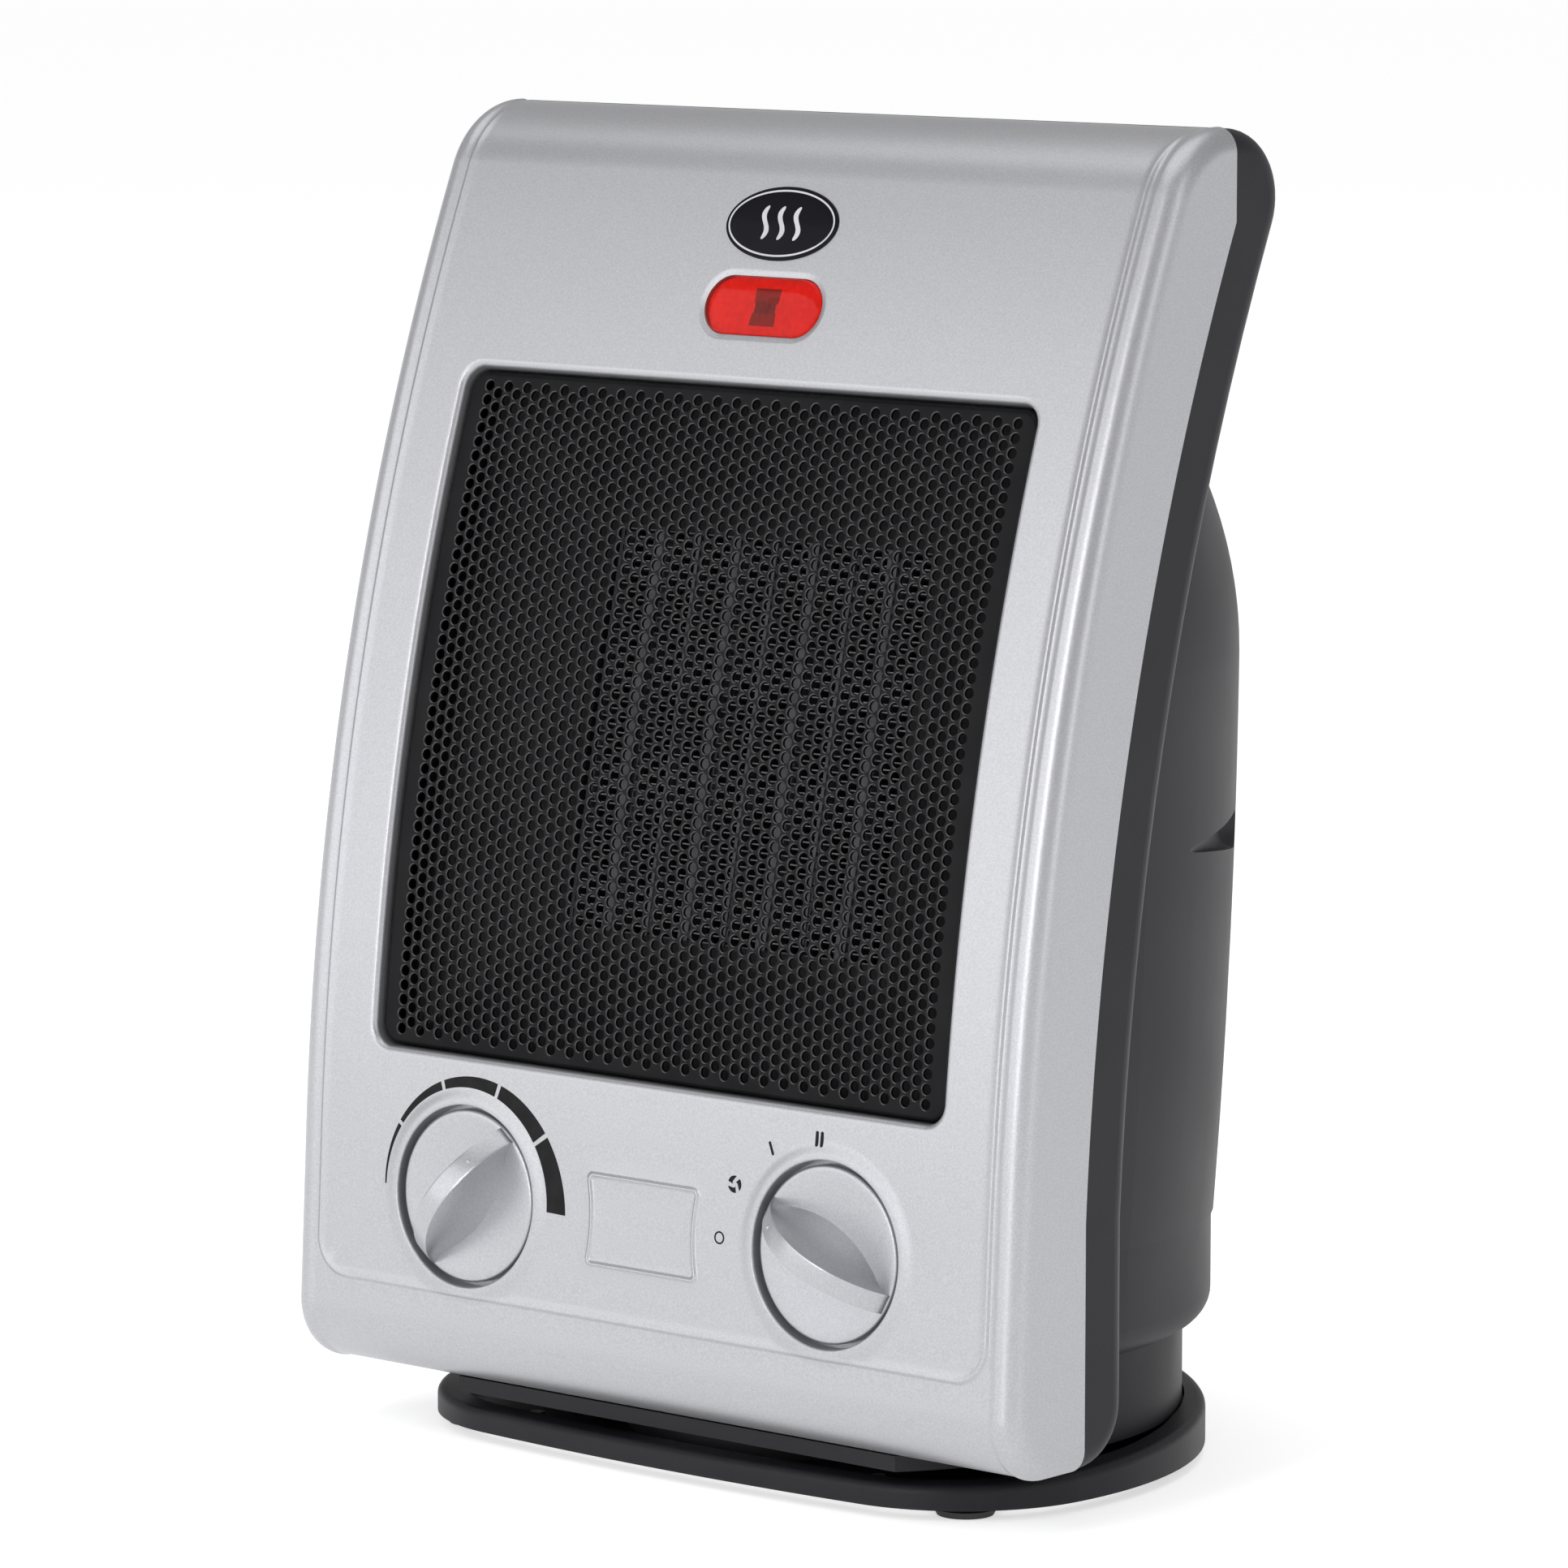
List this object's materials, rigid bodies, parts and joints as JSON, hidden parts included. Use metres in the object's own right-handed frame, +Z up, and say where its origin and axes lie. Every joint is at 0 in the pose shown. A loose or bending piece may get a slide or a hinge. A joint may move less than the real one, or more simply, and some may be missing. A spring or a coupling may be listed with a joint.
{
  "type": "ceramic space heater",
  "caption": "Upright ceramic fan heater: silver curved front with perforated grille, two knobs and pilot lens, dark rounded back, hand-turned round base.",
  "frame": {"origin": "on the floor, under the middle of the bounding box", "axes": "+Z up, -Y out of the grille, +X to the right-hand knob seen from behind the grille's back, as the heater's own left to right"},
  "size_m": [0.194, 0.152, 0.2736],
  "materials": {
    "silver_shell": "silver metallic paint on plastic, satin",
    "black_plastic": "fine moulded texture",
    "filter_mesh": "woven nylon dust mesh",
    "grille_black": "gloss black paint",
    "badge_black": "polished",
    "lens_red": "clear red plastic",
    "holder_white": "moulded",
    "lamp_glass": "neon bulb",
    "duct_black": "heat-resistant moulding",
    "element_plastic": "glass-filled heat-resistant moulding",
    "aluminium": "bare",
    "ceramic": "fired barium titanate",
    "brass_tab": "bare",
    "zinc": "zinc plated",
    "fan_plastic": "moulded",
    "steel": "bare",
    "copper_coil": "taped winding",
    "silver_knob": "silver metallic paint",
    "nylon": "natural nylon",
    "control_case": "phenolic moulding",
    "rubber": "soft"
  },
  "bodies": {
    "base": {"base_dish": "black_plastic", "bottom_plate": "steel", "rubber_feet": "rubber", "plate_screws": "zinc", "thrust_washer": "nylon", "pivot_washer": "zinc", "pivot_screw": "zinc"},
    "body": {"front_shell": "silver_shell", "rear_frame": "black_plastic", "rear_housing": "black_plastic", "housing_band": "black_plastic", "neck": "black_plastic", "cord_gland": "black_plastic", "dust_filter": "filter_mesh", "grille": "grille_black", "badge": "badge_black", "indicator_lens": "lens_red", "lamp_holder": "holder_white", "neon_lamp": "lamp_glass", "air_duct": "duct_black", "element_frame": "element_plastic", "element_tubes": "aluminium", "ptc_stones": "ceramic", "fin_strips": "aluminium", "fin_plates": "aluminium", "element_tabs": "brass_tab", "thermal_cutout": "zinc", "fan_shroud": "duct_black", "motor_stator": "steel", "motor_coil": "copper_coil", "front_bearing_bridge": "zinc", "rear_bearing_bridge": "zinc", "thermostat": "control_case", "function_switch": "control_case", "tilt_switch": "control_case", "terminal_block": "nylon", "shell_screws": "zinc", "housing_screws": "zinc"},
    "thermostat_control": {"thermostat_knob": "silver_knob", "thermostat_shaft": "zinc"},
    "function_control": {"function_knob": "silver_knob", "function_shaft": "nylon"},
    "fan_rotor": {"fan": "fan_plastic", "motor_rotor": "steel"}
  },
  "joints": [
    {"name": "swivel", "type": "hinge", "parent": "base", "child": "body", "pos_m": [0, -0.0094, 0.01], "axis": [0, 0, 1], "range_deg": [-30, 30]},
    {"name": "thermostat_turn", "type": "hinge", "parent": "body", "child": "thermostat_control", "pos_m": [-0.0483, -0.06438, 0.0531], "axis": [0, -0.9986, 0.0523], "range_deg": [-53, 127]},
    {"name": "function_turn", "type": "hinge", "parent": "body", "child": "function_control", "pos_m": [0.0483, -0.06438, 0.0531], "axis": [0, -0.9986, 0.0523], "range_deg": [-55, 27.5]},
    {"name": "fan_spin", "type": "hinge", "parent": "body", "child": "fan_rotor", "pos_m": [0, -0.04786, 0.1511], "axis": [0, 0.9783, -0.2073], "continuous": true}
  ]
}
